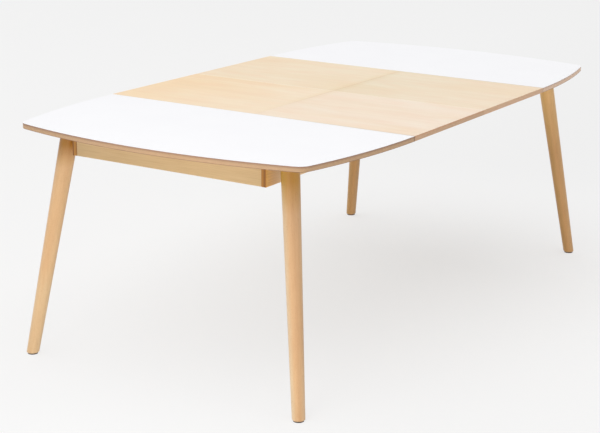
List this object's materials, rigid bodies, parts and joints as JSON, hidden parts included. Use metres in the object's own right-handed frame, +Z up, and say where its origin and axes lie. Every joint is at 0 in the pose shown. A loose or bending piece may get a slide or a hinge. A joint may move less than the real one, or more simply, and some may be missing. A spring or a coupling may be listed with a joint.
{
  "type": "butterfly leaf table",
  "caption": "Long dining table with bowed white end panels, folding pale-wood butterfly leaves between them and splayed round tapered legs.",
  "frame": {"origin": "on the floor under the centre of the open table", "axes": "+X along the length towards the far end, +Y across the table to the left, +Z up"},
  "size_m": [2.114, 1.14, 0.74],
  "materials": {
    "top_ply": "sealed plywood edge",
    "white_laminate": "satin white laminate sheet",
    "backing_sheet": "matt balancing sheet",
    "leaf_veneer": "matt lacquered birch veneer on plywood",
    "frame_ply": "lacquered plywood",
    "beech_inner": "plain beech",
    "beech_leg": "satin lacquered beech",
    "zinc_steel": "zinc plated",
    "aluminium": "mill finish extrusion",
    "brass": "turned",
    "pale_nylon": "moulded nylon",
    "dark_nylon": "moulded nylon",
    "belt_rubber": "moulded"
  },
  "bodies": {
    "carriage": {"left_middle_slide": "aluminium", "right_middle_slide": "aluminium", "left_timing_belt": "belt_rubber", "right_timing_belt": "belt_rubber", "leaf_pegs": "pale_nylon", "slat_hangers": "zinc_steel", "near_storage_slat": "beech_inner", "far_storage_slat": "beech_inner"},
    "near_half": {"near_top_core": "top_ply", "near_top_laminate": "white_laminate", "near_top_backing": "backing_sheet", "near_apron": "frame_ply", "near_frame_dowels": "beech_inner", "near_corner_blocks": "beech_inner", "near_rail_brackets": "zinc_steel", "near_leg_plates": "zinc_steel", "near_foot_glides": "dark_nylon", "near_left_rail": "frame_ply", "near_left_leg": "beech_leg", "near_left_slide": "aluminium", "near_left_rack": "pale_nylon", "near_right_rail": "frame_ply", "near_right_leg": "beech_leg", "near_right_slide": "aluminium", "near_right_rack": "pale_nylon"},
    "far_half": {"far_top_core": "top_ply", "far_top_laminate": "white_laminate", "far_top_backing": "backing_sheet", "far_apron": "frame_ply", "far_frame_dowels": "beech_inner", "far_corner_blocks": "beech_inner", "far_rail_brackets": "zinc_steel", "far_leg_plates": "zinc_steel", "far_foot_glides": "dark_nylon", "far_left_rail": "frame_ply", "far_left_leg": "beech_leg", "far_left_slide": "aluminium", "far_left_rack": "pale_nylon", "far_right_rail": "frame_ply", "far_right_leg": "beech_leg", "far_right_slide": "aluminium", "far_right_rack": "pale_nylon"},
    "near_leaf_base": {"near_leaf_left_panel": "leaf_veneer", "near_leaf_left_hinges": "brass"},
    "near_leaf_flap": {"near_leaf_right_panel": "leaf_veneer", "near_leaf_right_hinges": "brass"},
    "far_leaf_base": {"far_leaf_left_panel": "leaf_veneer", "far_leaf_left_hinges": "brass"},
    "far_leaf_flap": {"far_leaf_right_panel": "leaf_veneer", "far_leaf_right_hinges": "brass"},
    "near_left_gear": {"near_left_pinion": "pale_nylon", "near_left_pulley": "pale_nylon"},
    "near_right_gear": {"near_right_pinion": "pale_nylon", "near_right_pulley": "pale_nylon"},
    "far_left_gear": {"far_left_pinion": "pale_nylon", "far_left_pulley": "pale_nylon"},
    "far_right_gear": {"far_right_pinion": "pale_nylon", "far_right_pulley": "pale_nylon"}
  },
  "joints": [
    {"name": "near_half_slide", "type": "slide", "parent": "carriage", "child": "near_half", "axis": [-1, 0, 0], "range_m": [0, 0.03]},
    {"name": "far_half_slide", "type": "slide", "parent": "carriage", "child": "far_half", "axis": [1, 0, 0], "range_m": [0, 0.03]},
    {"name": "near_left_gear_turn", "type": "hinge", "parent": "carriage", "child": "near_left_gear", "pos_m": [-0.09, 0.312, 0.704], "axis": [0, 0, 1], "range_deg": [0, 145]},
    {"name": "near_right_gear_turn", "type": "hinge", "parent": "carriage", "child": "near_right_gear", "pos_m": [-0.09, -0.312, 0.704], "axis": [0, 0, 1], "range_deg": [0, 145]},
    {"name": "far_left_gear_turn", "type": "hinge", "parent": "carriage", "child": "far_left_gear", "pos_m": [0.09, 0.312, 0.704], "axis": [0, 0, 1], "range_deg": [0, 145]},
    {"name": "far_right_gear_turn", "type": "hinge", "parent": "carriage", "child": "far_right_gear", "pos_m": [0.09, -0.312, 0.704], "axis": [0, 0, 1], "range_deg": [0, 145]},
    {"name": "near_leaf_lift", "type": "slide", "parent": "carriage", "child": "near_leaf_base", "axis": [0, 0, 1], "range_m": [0, 0.05]},
    {"name": "far_leaf_lift", "type": "slide", "parent": "carriage", "child": "far_leaf_base", "axis": [0, 0, 1], "range_m": [0, 0.05]},
    {"name": "near_leaf_fold", "type": "hinge", "parent": "near_leaf_base", "child": "near_leaf_flap", "pos_m": [-0.23763, 0, 0.74], "axis": [-1, 0, 0], "range_deg": [0, 180]},
    {"name": "far_leaf_fold", "type": "hinge", "parent": "far_leaf_base", "child": "far_leaf_flap", "pos_m": [0.23763, 0, 0.74], "axis": [-1, 0, 0], "range_deg": [0, 180]}
  ],
  "couplings": [
    {"joint": "far_half_slide", "follows": "near_half_slide", "ratio": 1},
    {"joint": "near_left_gear_turn", "follows": "near_half_slide", "rad_per_m": 83.333},
    {"joint": "near_right_gear_turn", "follows": "near_half_slide", "rad_per_m": 83.333},
    {"joint": "far_left_gear_turn", "follows": "near_half_slide", "rad_per_m": 83.333},
    {"joint": "far_right_gear_turn", "follows": "near_half_slide", "rad_per_m": 83.333}
  ]
}
